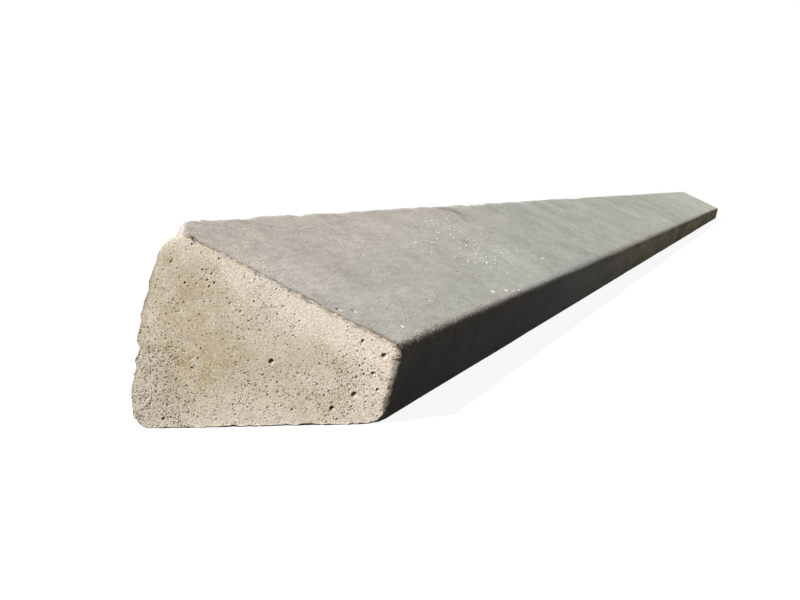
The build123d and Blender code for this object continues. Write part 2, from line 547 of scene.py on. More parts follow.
# Small grains scattered over it: limits across, middle and spread along, and limits of the radius
SCATTERED, SCATTER_ACROSS, SCATTER_ALONG, SCATTER_RADIUS = 130, (14, 66), (275, 45), (0.2, 0.38)
# Long grains, drawn out across the post
LONG_GRAINS = [(75.5, 181.9, 0.5), (78.1, 201.7, 0.45), (65.7, 375.8, 0.5), (75.3, 29.0, 0.35)]
DRAWN_OUT = 2.2
# Holes in the narrow face: down from its upper edge, along from the near end, radius in millimetres
NARROW_HOLES = [(6.5, 118.0, 0.7), (11.0, 205.0, 0.8), (7.0, 288.0, 0.8)]

scatter = np.random.default_rng(12)
scattered_across = scatter.uniform(*SCATTER_ACROSS, SCATTERED)
scattered_along = scatter.normal(*SCATTER_ALONG, SCATTERED)
scattered_radius = scatter.uniform(*SCATTER_RADIUS, SCATTERED)
upper_grains = UPPER_GRAINS + list(zip(scattered_across, scattered_along, scattered_radius))
print(len(END_HOLES + UPPER_HOLES + NARROW_HOLES), "holes and", len(upper_grains + LONG_GRAINS), "grains")

# %% [markdown]
# A bowl is a stack of rings that closes in a pole: each has a share of the radius, and a depth as a share
# of it. Turned outwards, another stack makes a dome. Painted shade darkens the wall of a bowl nearer the
# sun, which its rim shades, and the wall across from it, which the sun lights, is left clean.

# %% Sewing one bowl or dome
BOWL = [(1.0, 0.0), (0.93, 0.26), (0.76, 0.5), (0.45, 0.64), (0.0, 0.7)]
DOME = [(1.0, 0.0), (0.86, -0.45), (0.5, -0.8), (0.0, -0.95)]
# Room that the rim needs, in radii, and the radius below which one sits on a grid point itself
ROOM, SMALL = 1.15, 0.5
# The rim is out of round by this share, in about this many bumps to the radius
UNEVEN_RIM, RIM_BUMPS, RIM_SEED = 0.1, 1.5, 61
# Painted shade in a bowl: its share on the walls, how that grows towards the wall nearer the sun, and the
# most at the bottom
WALL_SHADE, SHADED_WALL_SIDE, BOTTOM_SHADE = 0.4, np.array([-0.68, -0.32, 0.32]), 0.4


def sew(grid, cut, finish, centre, normal, radius, profile, longer, shake):
    """Take out the cells round the nearest grid point and sew the rings of a profile into the gap.

    Ring k lies at radius times profile[k][0] from the centre and radius times profile[k][1] below the face.
    Across the post it is that many times longer. A small one moves to the grid point, which needs least room.
    """
    every = np.concatenate(skin_points)
    i, j = np.unravel_index(np.linalg.norm(every[grid] - centre, axis=-1).argmin(), grid.shape)
    if not (0 < i < grid.shape[0] - 2 and 0 < j < grid.shape[1] - 2):
        return False
    home = every[grid[i, j]]
    # In cells: a larger one may stand half a cell off the grid point
    stray = 0.0 if radius < SMALL else 0.5
    high = math.ceil(ROOM * radius / np.linalg.norm(every[grid[i + 1, j]] - home) + stray)
    wide = math.ceil(ROOM * radius * longer / np.linalg.norm(every[grid[i, j + 1]] - home) + stray)
    rows, columns = slice(i - high, i + high), slice(j - wide, j + wide)
    inside = high <= i < grid.shape[0] - high and wide <= j < grid.shape[1] - wide
    if not inside or cut[rows, columns].any():
        return False
    cut[rows, columns] = True
    loop = around(grid[i - high:i + high + 1, j - wide:j + wide + 1])
    offset = (centre - home) * (radius >= SMALL)
    seat = home + offset - (offset @ normal) * normal
    spoke = every[loop] - seat
    spoke = unit(spoke - (spoke @ normal)[:, None] * normal)
    reach = radius * (1 + UNEVEN_RIM * noise(spoke * RIM_BUMPS + shake, 1.0, RIM_SEED))
    out, deep = np.array(profile).T[..., None]
    rings = seat + spoke * (reach * out[:-1])[..., None] - (radius * deep[:-1])[..., None] * normal
    rings = rings + ((rings - seat) @ sideways * (longer - 1))[..., None] * sideways
    # Painted shade, most on the wall nearer the sun; a dome's depth is under zero, a painted glint
    wall_shade = np.where(deep[:-1] > 0, np.clip(WALL_SHADE + spoke @ SHADED_WALL_SIDE, 0, 1), 1)
    sewn = np.vstack([loop[None], store(rings, hollow=deep[:-1] * wall_shade)])
    pole = store((seat - normal * radius * deep[-1])[None], hollow=min(deep[-1], BOTTOM_SHADE))[0]
    after = np.roll(sewn, -1, axis=1)
    # Faces turn outwards if the next point comes first where the rings run anticlockwise about the normal
    one, two = (after, sewn) if np.cross(spoke[0], spoke[1]) @ normal > 0 else (sewn, after)
    keep_faces(finish, one[:-1], one[1:], two[1:], two[:-1])
    keep_faces(finish, one[-1], np.full(len(loop), pole), two[-1])
    return True


print("a bowl has", len(BOWL) - 1, "rings and a pole, a dome", len(DOME) - 1, "rings and a pole")

# %% Sewing them all
# Holes at least this far inside the last fine row go into the fine rows, in millimetres
FINE_MARGIN = 2.0
# Each rim takes its bumps from a new place in the noise, this much further on
SHAKE_STEP = 3.65
near_normal = np.array([0.0, -1.0, 0.0])
cut_end = np.zeros((ACROSS, DOWN), bool)
cut_fine = np.zeros((len(fine_grid) - 1, RING), bool)
cut_medium = np.zeros((len(medium_grid) - 1, RING // HALVED), bool)


def on_upper(spot, along):
    """Point on the upper side: across from the struck edge and along from the near end."""
    return at_distance(high_struck + spot * across_upper, along)


def down_narrow(spot, along):
    """Point on the narrow face: down from its upper edge and along from the near end."""
    return at_distance(high_mould - spot * lean, along)


wanted = [(at_distance((x, z), 0), near_normal, r, END, BOWL, 1) for x, z, r in END_HOLES]
wanted += [(on_upper(a, y), upper_normal, r, MOULD, BOWL, 1) for a, y, r in UPPER_HOLES]
wanted += [(on_upper(a, y), upper_normal, r, MOULD, DOME, DRAWN_OUT) for a, y, r in LONG_GRAINS]
wanted += [(on_upper(a, y), upper_normal, r, MOULD, DOME, 1) for a, y, r in upper_grains]
wanted += [(down_narrow(a, y), narrow_normal, r, MOULD, BOWL, 1) for a, y, r in NARROW_HOLES]
sewn_count = 0
for number, (centre, normal, radius, finish, profile, longer) in enumerate(wanted):
    if finish == END:
        grid, cut = end_grid, cut_end
    elif centre[1] - NEAR < fine[-1] - FINE_MARGIN:
        grid, cut = fine_grid, cut_fine
    else:
        grid, cut = medium_grid, cut_medium
    sewn_count += sew(grid, cut, finish, centre, normal, radius, profile, longer, number * SHAKE_STEP)
print(sewn_count, "of", len(wanted), "sewn, and the others had no room")

# %% [markdown]
# ## Sewing the skin together
#
# With the holes cut, the cells that are left become faces, and the three zones are joined. At a join each
# coarse edge meets two fine ones, which makes three triangles. Faces that a break bared take the finish of
# the end. A boolean cut could make such holes too, but it would leave long, thin faces that shade badly.

# %% Faces
# This many rows of faces at the near end take the finish of the end
END_ROWS = 3
ring_finish = np.where(side_of == "struck", STRUCK, MOULD)


def close_sides(grid, cut, finish):
    """Faces between neighbouring rings, all the way round, except where a hole was cut."""
    left, here, there = ~cut, grid[:-1], grid[1:]
    corners = here, np.roll(here, -1, axis=1), np.roll(there, -1, axis=1), there
    keep_faces(finish[left], *(corner[left] for corner in corners))


def join(outer, inner, finish):
    """Three triangles for each coarse edge: the fine ring has twice the points of the coarse one."""
    a, b, c = outer[0::2], outer[1::2], np.roll(outer, -2)[0::2]
    d, e = inner, np.roll(inner, -1)
    keep_faces(finish, a, b, d)
    keep_faces(finish, b, e, d)
    keep_faces(finish, b, c, e)


fine_finish = np.tile(ring_finish, (len(fine_grid) - 1, 1))
fine_finish[:END_ROWS] = END
medium_finish = np.tile(ring_finish[::HALVED], (len(medium_grid) - 1, 1))
coarse_finish = np.tile(ring_finish[::QUARTERED], (len(coarse_grid) - 1, 1))
coarse_finish[-1] = END
close_sides(fine_grid, cut_fine, fine_finish)
join(fine_grid[-1], medium_grid[0], ring_finish[::HALVED])
close_sides(medium_grid, cut_medium, medium_finish)
join(medium_grid[-1], coarse_grid[0], ring_finish[::QUARTERED])
close_sides(coarse_grid, np.zeros(coarse_finish.shape, bool), coarse_finish)
end_cells = end_grid[:-1, :-1], end_grid[:-1, 1:], end_grid[1:, 1:], end_grid[1:, :-1]
keep_faces(END, *(corner[~cut_end] for corner in end_cells))
keep_faces(END, far_grid[:-1, :-1], far_grid[1:, :-1], far_grid[1:, 1:], far_grid[:-1, 1:])
print("faces", sum(map(len, faces[4])), "quads and", sum(map(len, faces[3])), "triangles")

# %% The mesh
# A face that is bared more than this takes the finish of the end
MOSTLY_BARED = 0.5
# Faces that meet at more than this, in degrees, are shaded with a sharp edge
SHARP_ANGLE = 30.0


def show(name, data):
    """New object at the origin of the scene."""
    shown = bpy.data.objects.new(name, data)
    bpy.context.scene.collection.objects.link(shown)
    return shown


points = np.concatenate(skin_points) * MM
quads, triangles = np.concatenate(faces[4]), np.concatenate(faces[3])
point_marks = {name: np.concatenate(kept) for name, kept in marks.items()}
bared_share = np.concatenate([point_marks["bared"][each].mean(axis=1) for each in (quads, triangles)])
finishes = np.where(bared_share > MOSTLY_BARED, END, np.concatenate(face_finish[4] + face_finish[3]))
used = np.zeros(len(points), bool)
used[quads], used[triangles] = True, True
renumber = np.cumsum(used) - 1
mesh = bpy.data.meshes.new("fence_post_skin")
mesh.from_pydata(points[used].tolist(), [], renumber[quads].tolist() + renumber[triangles].tolist())
mesh.polygons.foreach_set("material_index", finishes.astype(np.int32))
mesh.polygons.foreach_set("use_smooth", np.ones(len(mesh.polygons), bool))
for name in marks:
    layer = mesh.attributes.new(name=name, type="FLOAT", domain="POINT")
    layer.data.foreach_set("value", point_marks[name][used].astype(np.float32))
mesh.update()
mesh.set_sharp_from_angle(angle=math.radians(SHARP_ANGLE))
post = show("fence_post_skin", mesh)
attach(post, "root")
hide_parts("fence_post")
print("skin of", 2 * len(quads) + len(triangles), "triangles")

# %% [markdown]
# ## Finishes
#
# All three finishes are the same concrete: cement with sand in it. What differs is how much sand shows. So
# sand, stains and grime are node groups that each finish places with its own values. A small helper adds a
# node, fills its inputs with values or links, and gives it back.

# %% Node helpers
def fill(tree, node, inputs):
    """Set a node's inputs by socket name or number, each to a value or to a socket that feeds it."""
    for name, value in inputs.items():
        if isinstance(value, bpy.types.NodeSocket):
            tree.links.new(value, node.inputs[name])
        else:
            node.inputs[name].default_value = value
    return node


def add(tree, kind, inputs=None, **settings):
    """Add a node with its settings and inputs."""
    node = tree.nodes.new(kind)
    for name, value in settings.items():
        setattr(node, name, value)
    return fill(tree, node, inputs or {})


def place_group(tree, group, inputs):
    """Place a group in a finish with its own values."""
    return add(tree, "ShaderNodeGroup", inputs, node_tree=group)


def new_group(name, inputs, outputs):
    """An empty shader group with named sockets; returns the tree, its inputs and its output node."""
    tree = bpy.data.node_groups.new(name, "ShaderNodeTree")
    for way, sockets in (("INPUT", inputs), ("OUTPUT", outputs)):
        for label, kind in sockets.items():
            tree.interface.new_socket(name=label, in_out=way, socket_type="NodeSocket" + kind)
    return tree, tree.nodes.new("NodeGroupInput").outputs, tree.nodes.new("NodeGroupOutput")


def math_node(tree, operation, a, b=0.0, clamp=False):
    """One sum of two values or sockets."""
    return add(tree, "ShaderNodeMath", {0: a, 1: b}, operation=operation, use_clamp=clamp).outputs[0]


def times(tree, a, b):
    """One value times another."""
    return math_node(tree, "MULTIPLY", a, b)


def plus(tree, a, b):
    """One value plus another."""
    return math_node(tree, "ADD", a, b)


def vector_node(tree, operation, inputs, output=0):
    """One vector sum."""
    return add(tree, "ShaderNodeVectorMath", inputs, operation=operation).outputs[output]


print("helpers for nodes, groups and sums")

# %% Colour helpers
def ramp(tree, value, low, high, to_low=0.0, to_high=1.0):
    """Eased step of a value: from to_low where it is low to to_high where it is high."""
    ends = {"Value": value, "From Min": low, "From Max": high, "To Min": to_low, "To Max": to_high}
    return add(tree, "ShaderNodeMapRange", ends, interpolation_type="SMOOTHSTEP").outputs[0]


def noise_node(tree, place, scale, detail=3.0, roughness=0.55, output=0):
    """Value of a noise texture, or its colour."""
    inputs = {"Vector": place, "Scale": scale, "Detail": detail, "Roughness": roughness}
    return add(tree, "ShaderNodeTexNoise", inputs).outputs[output]


def blend_colour(tree, share, a, b):
    """Colour a turning to colour b by a share."""
    return add(tree, "ShaderNodeMix", {0: share, 6: a, 7: b}, data_type="RGBA").outputs[2]


def shade(tree, colour, value, low, high, spread=0.2):
    """Colour times low where the value is a spread under a half, turning to times high a spread over it."""
    factor = ramp(tree, value, 0.5 - spread, 0.5 + spread, low, high)
    return vector_node(tree, "SCALE", {0: colour, "Scale": factor})


def cloud(tree, colour, place, scale, detail, low, high, spread=0.2):
    """Colour shaded from low to high by noise of a scale and detail."""
    return shade(tree, colour, noise_node(tree, place, scale, detail), low, high, spread)


def mark(tree, name):
    """One of the marks that the points of the skin keep."""
    return add(tree, "ShaderNodeAttribute", attribute_name=name).outputs["Fac"]


def stretched(tree, place, scale):
    """Position times a scale each way, so that a pattern on it is drawn out the other way."""
    return add(tree, "ShaderNodeMapping", {"Vector": place, "Scale": scale}).outputs[0]


def gone_along(tree, place, direction, start):
    """How far a place lies along a direction from a point of the section, in metres: a dot product."""
    here = vector_node(tree, "DOT_PRODUCT", {0: place, 1: direction}, "Value")
    return math_node(tree, "SUBTRACT", here, float(at_distance(start, 0) @ direction) * MM)


print("helpers for tones, clouds and marks")

# %% [markdown]
# Sand is two things: a fine unevenness of tone, and separate dark specks where a grain or a pinhole shows.
# The specks are the middles of random cells. Each cell has its own size and strength of speck, and only a
# share of the cells has one at all, more of them where a wider noise gathers them into clusters.

# %% Sand group
# Noise shakes the cells by this, in metres
JITTER = 0.0008
# Clusters: scale as a share of the grain, and the ramp from noise to the chance of a speck
CLUSTER_SCALE, CLUSTER_RAMP = 0.07, (0.36, 0.64, 0.4, 1.45)
# Specks by size: scale of the cells and chance as shares, smallest radius and spread of radius in cells
SPECKS = [(1.0, 1.0, 0.18, 0.14), (0.6, 0.18, 0.2, 0.16), (0.3, 0.12, 0.14, 0.12)]
# Where a speck, and the wider pit it sits in, fade out and are full, in cells beyond its radius
SPECK_FADE, PIT_FADE = (0.06, -0.08), (0.22, -0.1)
# Strength of the faintest speck
FAINTEST = 0.5

sand, given, out = new_group(
    "sand", {"Position": "Vector", "Grain": "Float", "Specks": "Float", "Pits": "Float"},
    {"Tone": "Float", "Speck": "Float", "Height": "Float"},
)
spot, grain = given["Position"], given["Grain"]
tone = noise_node(sand, spot, grain, detail=3.0, roughness=0.65)
jitter = noise_node(sand, spot, grain, detail=1.0, roughness=0.5, output="Color")
jitter = vector_node(sand, "SCALE", {0: jitter, "Scale": JITTER})
shaken = vector_node(sand, "ADD", {0: spot, 1: jitter})
cluster = ramp(sand, noise_node(sand, spot, times(sand, grain, CLUSTER_SCALE)), *CLUSTER_RAMP)
chance = times(sand, given["Specks"], cluster)


def specks_of(cell_share, chance_share, smallest, spread):
    """Dark specks and their pits: where a cell has one, it fades out round the cell's middle."""
    cells = add(sand, "ShaderNodeTexVoronoi", {"Vector": shaken, "Scale": times(sand, grain, cell_share)})
    random = add(sand, "ShaderNodeSeparateColor", {"Color": cells.outputs["Color"]}).outputs
    has_speck = math_node(sand, "LESS_THAN", random[0], times(sand, chance, chance_share))
    radius = plus(sand, times(sand, random[1], spread), smallest)
    beyond = math_node(sand, "SUBTRACT", cells.outputs["Distance"], radius)
    strength = plus(sand, times(sand, random[2], 1 - FAINTEST), FAINTEST)
    strength = times(sand, strength, has_speck)
    return [times(sand, ramp(sand, beyond, *fade), strength) for fade in (SPECK_FADE, PIT_FADE)]


speck, pit = 0.0, 0.0
for size in SPECKS:
    more_speck, more_pit = specks_of(*size)
    speck = math_node(sand, "MAXIMUM", speck, more_speck)
    pit = math_node(sand, "MAXIMUM", pit, more_pit)
height = math_node(sand, "SUBTRACT", tone, times(sand, pit, given["Pits"]))
fill(sand, out, {"Tone": tone, "Speck": speck, "Height": height})
print("sand group with", len(sand.nodes), "nodes")

# %% [markdown]
# A stain is a soft patch round a centre. Its distance is measured after the position is shaken by noise, so
# its edge wanders as a water mark does.

# %% Stain group
# Scale of the noise that shakes the place, and where a stain fades out and is full, in shares of its reach
SHAKE_SCALE, STAIN_FADE = 110.0, (1.4, 0.0)
# Scale of the noise that makes it patchy, and the ramp from that noise to its strength
PATCH_SCALE, PATCH_RAMP = 170.0, (0.32, 0.62, 0.35, 1.0)

stain, given, out = new_group(
    "stain", {"Position": "Vector", "Centre": "Vector", "Reach": "Vector", "Wander": "Float"},
    {"Mask": "Float"},
)
shake = noise_node(stain, given["Position"], SHAKE_SCALE, detail=4.0, roughness=0.5, output="Color")
swing = vector_node(stain, "SUBTRACT", {0: shake, 1: (0.5, 0.5, 0.5)})
swing = vector_node(stain, "SCALE", {0: swing, "Scale": given["Wander"]})
moved = vector_node(stain, "ADD", {0: given["Position"], 1: swing})
gap = vector_node(stain, "SUBTRACT", {0: moved, 1: given["Centre"]})
gap = vector_node(stain, "DIVIDE", {0: gap, 1: given["Reach"]})
soft = ramp(stain, vector_node(stain, "LENGTH", {0: gap}, "Value"), *STAIN_FADE)
patches = noise_node(stain, given["Position"], PATCH_SCALE, detail=5.0, roughness=0.65)
fill(stain, out, {"Mask": times(stain, soft, ramp(stain, patches, *PATCH_RAMP))})


def stain_mask(tree, place, centre, reach, wander):
    """Mask of one stain, from its centre, its reach each way and its wander, in millimetres."""
    sizes = {"Centre": np.array(centre) * MM, "Reach": np.array(reach) * MM, "Wander": wander * MM}
    return place_group(tree, stain, {"Position": place, **sizes}).outputs[0]


print("stain group with", len(stain.nodes), "nodes")

# %% [markdown]
# Painted shade darkens the air holes and the crumb gaps, and grime with painted shade darkens the near
# edges. The marks on the points say where. Grains that stand proud are the other way round: they take a
# pale painted glint.

# %% Group for grime, painted shade and painted glints
# Colours: painted shade in holes, painted glint on proud grains, grime with painted shade on edges
HOLE_SHADE, PAINTED_GLINT = (0.05, 0.04, 0.03, 1), (0.86, 0.85, 0.80, 1)
EDGE_GRIME_SHADE = (0.12, 0.095, 0.065, 1)
# How fast painted shade and painted glint set in with their mark, which is under zero where a grain
# stands proud
SHADE_SHARE, GLINT_SHARE = 1.3, -1.4
# Scale of the noise that makes the grime and painted shade of the edges patchy, and the ramp from that
# noise to its share
EDGE_GRIME_SHADE_SCALE, EDGE_GRIME_SHADE_RAMP = 800.0, (0.42, 0.58, 0.3, 0.85)

grime_shade_glint, given, out = new_group(
    "grime_and_shade", {"Colour": "Color", "Position": "Vector", "Hollow": "Float", "Edge": "Float"},
    {"Colour": "Color"},
)
deep = math_node(grime_shade_glint, "MULTIPLY", given["Hollow"], SHADE_SHARE, clamp=True)
proud = math_node(grime_shade_glint, "MULTIPLY", given["Hollow"], GLINT_SHARE, clamp=True)
patchy = ramp(grime_shade_glint, noise_node(grime_shade_glint, given["Position"], EDGE_GRIME_SHADE_SCALE), *EDGE_GRIME_SHADE_RAMP)
# Painted shade in holes and crumb gaps, then a painted glint on proud grains
colour = blend_colour(grime_shade_glint, deep, given["Colour"], HOLE_SHADE)
colour = blend_colour(grime_shade_glint, proud, colour, PAINTED_GLINT)
# Grime with painted shade along the near edges, made patchy
colour = blend_colour(grime_shade_glint, times(grime_shade_glint, given["Edge"], patchy), colour, EDGE_GRIME_SHADE)
fill(grime_shade_glint, out, {"Colour": colour})
print("grime group with", len(grime_shade_glint.nodes), "nodes")

# %% [markdown]
# ## The cast end
#
# Pale cream cement with dark sand all over, a clean band under the upper edge, and ochre water stains. An
# image could hold all that, but it would need unwrapping and would blur close up. So each stain has its own
# centre on the near end, and the far end stays plain.

# %% Start and end of a finish
SPECULAR = 0.06
SPECK_BROWN = (0.10, 0.062, 0.034, 1)
# Grit on worn edges: scale of its noise, and height against the sand's
GRIT_SCALE, GRIT_HEIGHT = 1000.0, 7.0


def start_finish(name, roughness):
    """A material with one Principled shader and the position on the post, in metres."""
    material = bpy.data.materials.new(name)
    material.use_nodes = True
    tree = material.node_tree
    shader = tree.nodes["Principled BSDF"]
    fill(tree, shader, {"Roughness": roughness, "Specular IOR Level": SPECULAR})
    return material, tree, shader, add(tree, "ShaderNodeTexCoord").outputs["Object"]


def close_finish(tree, shader, place, colour, grains, specks, bump, depth):
    """Lay specks, grime, painted shade and painted glints over the colour, add grit on worn edges to the
    height, and feed both on.

    Specks and bump are strengths, and depth is the height of the bump in metres.
    """
    colour = blend_colour(tree, times(tree, grains["Speck"], specks), colour, SPECK_BROWN)
    # Marks for painted shade, painted glints, and grime with painted shade on the edges
    shade_and_dirt = {"Hollow": mark(tree, "hollow"), "Edge": mark(tree, "grime_and_shade")}
    with_shade_and_dirt = place_group(tree, grime_shade_glint, {"Colour": colour, "Position": place, **shade_and_dirt})
    grit = math_node(tree, "SUBTRACT", noise_node(tree, place, GRIT_SCALE, detail=2.0), 0.5)
    grit = times(tree, grit, times(tree, mark(tree, "worn"), GRIT_HEIGHT))
    height = plus(tree, grains["Height"], grit)
    bumped = add(tree, "ShaderNodeBump", {"Strength": bump, "Distance": depth, "Height": height})
    fill(tree, shader, {"Base Color": with_shade_and_dirt.outputs[0], "Normal": bumped.outputs[0]})


print("every finish starts with a Principled shader and ends with grime and bump")

# %% Cast end finish
CREAM, PALE_CREAM = (0.575, 0.515, 0.425, 1), (0.65, 0.585, 0.49, 1)
CLEAN_CREAM, OCHRE = (0.74, 0.65, 0.565, 1), (0.43, 0.355, 0.225, 1)
# Clean band, in metres: how far under the upper edge it ends and is full, how far clouds move that, where it
# is faintest and strongest across the post, and how faint it gets
CLEAN_UNDER, CLEAN_MOVED, CLEAN_ACROSS, CLEAN_FAINTEST = (0.013, 0.002), -0.03, (-0.030, 0.015), 0.25
CLEAN_STRENGTH = 0.85
# Share of specks off and on the clean band
SPECKS_OFF, SPECKS_ON = 0.14, 0.04
# Sandy patches on the end: x, z and reach each way in millimetres, and how many more specks
SANDY = [
    (-34, 10, 15, 19, 2.2), (-35, 30, 8, 18, 0.6), (30, 12, 18, 16, 0.72), (0, 9, 15, 10, 0.55),
    (2, 33, 12, 8, 0.45),
]
# Ochre stains the same way, with their strength
END_STAINS = [
    (-20, 38, 16, 16, 0.9), (-21, 52, 9, 8, 0.6), (-8, 43, 9, 8, 0.5), (-18, 19, 20, 13, 0.95),
    (-5, 27, 14, 8, 0.3), (8, 15, 12, 10, 0.6), (24, 21, 10, 7, 0.6), (21, 7, 12, 5, 0.5),
]
# How far each goes into the post, and how far its edge wanders
END_REACH, END_WANDER = 50, 20

cast_end, tree, shader, place = start_finish("cast_end", roughness=0.95)
tone = noise_node(tree, place, scale=70.0, detail=5.0)
under = gone_along(tree, place, -upper_normal, high_struck)
under = plus(tree, under, times(tree, math_node(tree, "SUBTRACT", tone, 0.5), CLEAN_MOVED))
from_struck = add(tree, "ShaderNodeSeparateXYZ", {0: place}).outputs["X"]
clean = times(tree, ramp(tree, under, *CLEAN_UNDER), ramp(tree, from_struck, *CLEAN_ACROSS, CLEAN_FAINTEST))
sandy = ramp(tree, clean, 0.0, 1.0, SPECKS_OFF, SPECKS_ON)
for x, z, wide, high, more in SANDY:
    mask = stain_mask(tree, place, at_distance((x, z), 0), (wide, END_REACH, high), END_WANDER)
    sandy = plus(tree, sandy, times(tree, mask, more))
grains = place_group(tree, sand, {"Position": place, "Grain": 1500.0, "Specks": sandy, "Pits": 3.0}).outputs
colour = blend_colour(tree, ramp(tree, tone, low=0.3, high=0.7), CREAM, PALE_CREAM)
for x, z, wide, high, strength in END_STAINS:
    mask = stain_mask(tree, place, at_distance((x, z), 0), (wide, END_REACH, high), END_WANDER)
    colour = blend_colour(tree, times(tree, mask, strength), colour, OCHRE)
colour = blend_colour(tree, times(tree, clean, CLEAN_STRENGTH), colour, CLEAN_CREAM)
dusty = ramp(tree, sandy, low=0.4, high=1.6, to_low=1.0, to_high=0.9)
colour = vector_node(tree, "SCALE", {0: colour, "Scale": dusty})
colour = shade(tree, colour, grains["Tone"], low=0.88, high=1.07, spread=0.14)
colour = cloud(tree, colour, place, scale=3200.0, detail=1.0, low=0.76, high=1.17, spread=0.14)
colour = shade(tree, colour, mark(tree, "bared"), low=1.0, high=0.76)
close_finish(tree, shader, place, colour, grains, specks=0.88, bump=0.8, depth=0.00012)
print("cast end finish with", len(tree.nodes), "nodes")

# %% [markdown]
# ## The mould faces
#
# Steel or plastic moulds leave a smooth grey skin of cement. It is warmer near the end that faces us and a
# little green further away, cloudy at every scale, with a few brown marks. The narrow face is olive and
# blotched; painted shade darkens it near the end, and the olive also paints it lighter further along. One
# finish does both, because their colours run into each other.

# %% Mould face finish
GREY, WARM_GREY = (0.444, 0.445, 0.418, 1), (0.52, 0.478, 0.43, 1)
# Where warm begins and is full, in metres along; its border slants across the post, and clouds move it
WARM_ALONG, WARM_SLANT, WARM_MOVED = (-0.56, -1.08), 7.0, 0.3
# Colours further along, with where each begins and is full, in metres
FURTHER = [((0.425, 0.436, 0.376, 1), -0.95, 0.2), ((0.50, 0.51, 0.455, 1), 0.0, 1.0)]

mould_face, tree, shader, place = start_finish("mould_face", roughness=0.9)
drawn = stretched(tree, place, (1.0, 0.22, 1.0))
grains = place_group(tree, sand, {"Position": drawn, "Grain": 1600.0, "Specks": 0.1, "Pits": 0.7}).outputs
tone = noise_node(tree, drawn, scale=60.0, detail=6.0, roughness=0.65)
along = add(tree, "ShaderNodeSeparateXYZ", {0: place}).outputs["Y"]
slanted = plus(tree, along, times(tree, gone_along(tree, place, sideways, high_struck), WARM_SLANT))
slanted = plus(tree, slanted, times(tree, tone, WARM_MOVED))
colour = blend_colour(tree, ramp(tree, slanted, *WARM_ALONG), GREY, WARM_GREY)
for further, begins, full in FURTHER:
    colour = blend_colour(tree, ramp(tree, along, begins, full), colour, further)
print("mould faces turn from warm to green in", len(FURTHER) + 1, "blends")

# %% Narrow face and clouds
# Olive that also paints the narrow face lighter further on, grey of its painted shade, and blotches
OLIVE_PAINTED_LIGHT, PAINTED_SHADE_GREY, BLOTCH = (0.70, 0.64, 0.47, 1), (0.10, 0.095, 0.09, 1), (0.09, 0.085, 0.07, 1)
# Where the narrow face begins and is full, in metres from its plane, and where the olive and the painted
# shade begin and are full, in metres along
NARROW_FADE, OLIVE_LIGHT_ALONG, PAINTED_SHADE_ALONG = (-0.002, -0.0003), (-1.2, -0.3), (-0.68, -1.42)

on_narrow = ramp(tree, gone_along(tree, place, narrow_normal, high_mould), *NARROW_FADE)
# Olive tint that also paints the narrow face lighter further along
colour = blend_colour(tree, times(tree, on_narrow, ramp(tree, along, *OLIVE_LIGHT_ALONG)), colour, OLIVE_PAINTED_LIGHT)
wiped, long_place = stretched(tree, place, (7.0, 42.0, 7.0)), stretched(tree, place, (45.0, 4.5, 45.0))
colour = shade(tree, colour, tone, low=0.9, high=1.09)
colour = cloud(tree, colour, place, scale=14.0, detail=5.0, low=0.93, high=1.06)
colour = cloud(tree, colour, place, scale=3.0, detail=3.0, low=0.95, high=1.05)
colour = cloud(tree, colour, wiped, scale=1.0, detail=4.0, low=0.95, high=1.04)
colour = cloud(tree, colour, drawn, scale=420.0, detail=3.0, low=0.91, high=1.08)
mottled_shade = noise_node(tree, place, scale=45.0, detail=5.0)
mottled_shade = ramp(tree, mottled_shade, low=0.35, high=0.65, to_low=0.78, to_high=0.95)
# Painted shade: the narrow face darker towards the near end, mottled
painted_shade = times(tree, on_narrow, ramp(tree, along, *PAINTED_SHADE_ALONG))
colour = blend_colour(tree, times(tree, painted_shade, mottled_shade), colour, PAINTED_SHADE_GREY)
blotches = noise_node(tree, long_place, scale=1.0, detail=4.0, roughness=0.6)
blotches = ramp(tree, blotches, low=0.44, high=0.66, to_low=0.0, to_high=0.5)
colour = blend_colour(tree, times(tree, on_narrow, blotches), colour, BLOTCH)
print("narrow face is olive, damp and blotched")

# %% Marks on the mould faces
BROWN, DARK, EDGE_BROWN = (0.27, 0.17, 0.115, 1), (0.20, 0.15, 0.12, 1), (0.33, 0.28, 0.215, 1)
# Marks on the upper side: across from the struck edge, along from the near end and reach each way in
# millimetres, strength and colour
UPPER_MARKS = [
    (36.9, 290, 2.8, 9.0, 0.6, BROWN), (33.5, 375, 2.8, 9.0, 0.45, BROWN), (74.5, 2, 9.0, 4.0, 0.6, BROWN),
    (2.8, 369, 3.2, 12.0, 0.7, DARK), (5.2, 380, 3.4, 13.0, 0.75, DARK), (8.0, 389, 3.2, 12.0, 0.7, DARK),
    (11.2, 389, 3.0, 10.0, 0.65, DARK), (14.4, 385, 2.6, 9.0, 0.6, DARK), (17.4, 378, 2.2, 8.0, 0.5, DARK),
    (20.2, 370, 1.8, 7.0, 0.4, DARK),
]
MARK_WANDER = 7
# The worn edge is brown: where that begins and is full, in metres along, and its least and most
EDGE_ALONG, EDGE_SHARE = (-1.0, -1.38), (0.05, 0.32)

for spot, away, wide, long, strength, mark_colour in UPPER_MARKS:
    mask = stain_mask(tree, place, on_upper(spot, away), (wide, long, wide), MARK_WANDER)
    colour = blend_colour(tree, times(tree, mask, strength), colour, mark_colour)
brown_edge = times(tree, mark(tree, "worn"), ramp(tree, along, *EDGE_ALONG, *EDGE_SHARE))
colour = blend_colour(tree, brown_edge, colour, EDGE_BROWN)
colour = shade(tree, colour, grains["Tone"], low=0.9, high=1.1)
close_finish(tree, shader, place, colour, grains, specks=0.5, bump=0.42, depth=0.0004)
print("mould face finish with", len(tree.nodes), "nodes")

